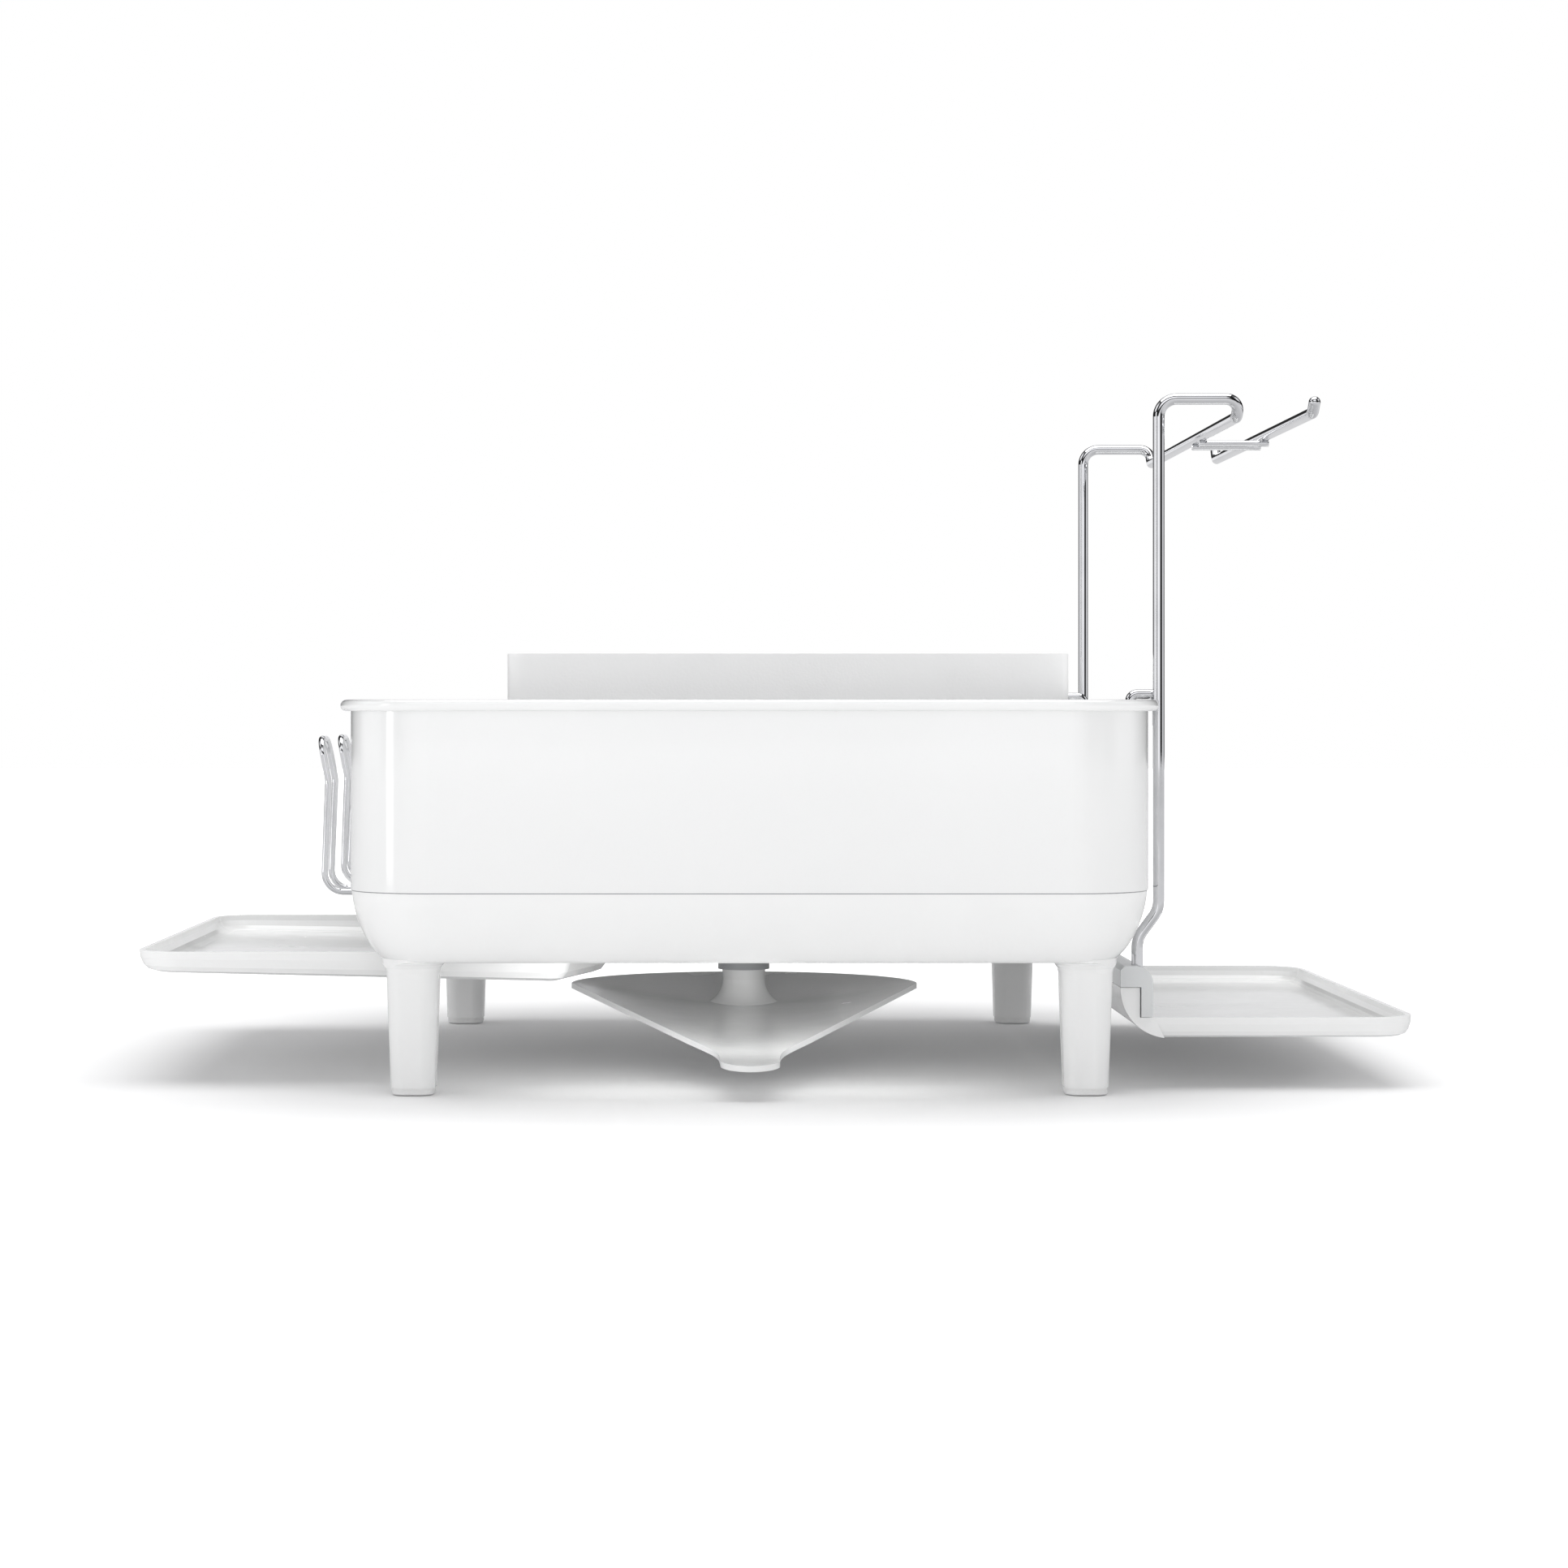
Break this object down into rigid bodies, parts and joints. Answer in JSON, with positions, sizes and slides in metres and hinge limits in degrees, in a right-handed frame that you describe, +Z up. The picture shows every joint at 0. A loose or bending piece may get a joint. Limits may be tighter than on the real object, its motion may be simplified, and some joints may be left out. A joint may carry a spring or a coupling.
{
  "type": "dish drying rack",
  "caption": "Steel-banded drip tub on legs with swivel drain spout, slide-out drip tray, hanging stemware holder with tray, mug hooks, lift-out wire rack and utensil caddy.",
  "frame": {"origin": "middle of the tub's plan, on the counter surface that the feet stand on", "axes": "+X towards the stemware holder, -X towards the slide-out tray, -Y the way the spout points at rest, +Z up"},
  "size_m": [0.576, 0.4042, 0.3106],
  "materials": {
    "white_plastic": "smooth white moulded plastic, low gloss",
    "white_steel": "glossy white coated steel",
    "grey_plastic": "grey moulded plastic",
    "clip_plastic": "white satin plastic",
    "caddy_plastic": "white matte moulded plastic",
    "soft_foot": "pale grey soft rubber",
    "chrome_wire": "polished chrome-plated wire",
    "rack_wire": "drawn stainless wire"
  },
  "bodies": {
    "base": {"base_pan": "white_plastic", "drain_grate": "grey_plastic", "steel_band": "white_steel", "rolled_rim": "white_steel", "leg_front_left": "white_plastic", "leg_front_right": "white_plastic", "leg_back_left": "white_plastic", "leg_back_right": "white_plastic", "foot_pad_front_left": "soft_foot", "foot_pad_front_right": "soft_foot", "foot_pad_back_left": "soft_foot", "foot_pad_back_right": "soft_foot", "spout_collar": "grey_plastic", "tray_rail_front": "white_plastic", "tray_rail_back": "white_plastic", "mug_hook_1": "chrome_wire", "mug_hook_2": "chrome_wire", "mug_hook_3": "chrome_wire", "mug_hook_4": "chrome_wire"},
    "spout": {"spout_bowl": "white_plastic", "spout_post": "white_plastic"},
    "left_tray": {"left_tray": "white_plastic"},
    "glass_holder": {"glass_holder_frame": "chrome_wire", "glass_outer_rail": "chrome_wire", "glass_rail_ties": "chrome_wire", "rim_hook_front": "chrome_wire", "rim_hook_back": "chrome_wire", "holder_clip": "clip_plastic"},
    "right_tray": {"right_tray": "white_plastic"},
    "rack": {"rack_lower_ring": "rack_wire", "rack_upper_ring": "rack_wire", "rack_floor_wires": "rack_wire", "rack_stretchers": "rack_wire", "rack_side_wires": "rack_wire", "plate_tines_left": "rack_wire", "plate_tines_right": "rack_wire", "rack_feet": "soft_foot"},
    "caddy": {"caddy": "caddy_plastic", "caddy_divider_1": "caddy_plastic", "caddy_divider_2": "caddy_plastic"},
    "knife_block": {"knife_block": "caddy_plastic"}
  },
  "joints": [
    {"name": "spout_swivel", "type": "hinge", "parent": "base", "child": "spout", "pos_m": [0, 0, 0.05], "axis": [0, 0, 1], "continuous": true},
    {"name": "left_tray_slide", "type": "slide", "parent": "base", "child": "left_tray", "axis": [1, 0, 0], "range_m": [0, 0.097]},
    {"name": "glass_holder_tilt", "type": "hinge", "parent": "base", "child": "glass_holder", "pos_m": [0.178, 0, 0.1708], "axis": [0, -1, 0], "range_deg": [0, 8]},
    {"name": "right_tray_slide", "type": "slide", "parent": "glass_holder", "child": "right_tray", "axis": [0, -1, 0], "range_m": [0, 0.3]},
    {"name": "rack_lift", "type": "slide", "parent": "base", "child": "rack", "axis": [0, 0, 1], "range_m": [0, 0.15]},
    {"name": "caddy_lift", "type": "slide", "parent": "base", "child": "caddy", "axis": [0, 0, 1], "range_m": [0, 0.2]},
    {"name": "knife_block_lift", "type": "slide", "parent": "caddy", "child": "knife_block", "axis": [0, 0, 1], "range_m": [0, 0.12]}
  ]
}
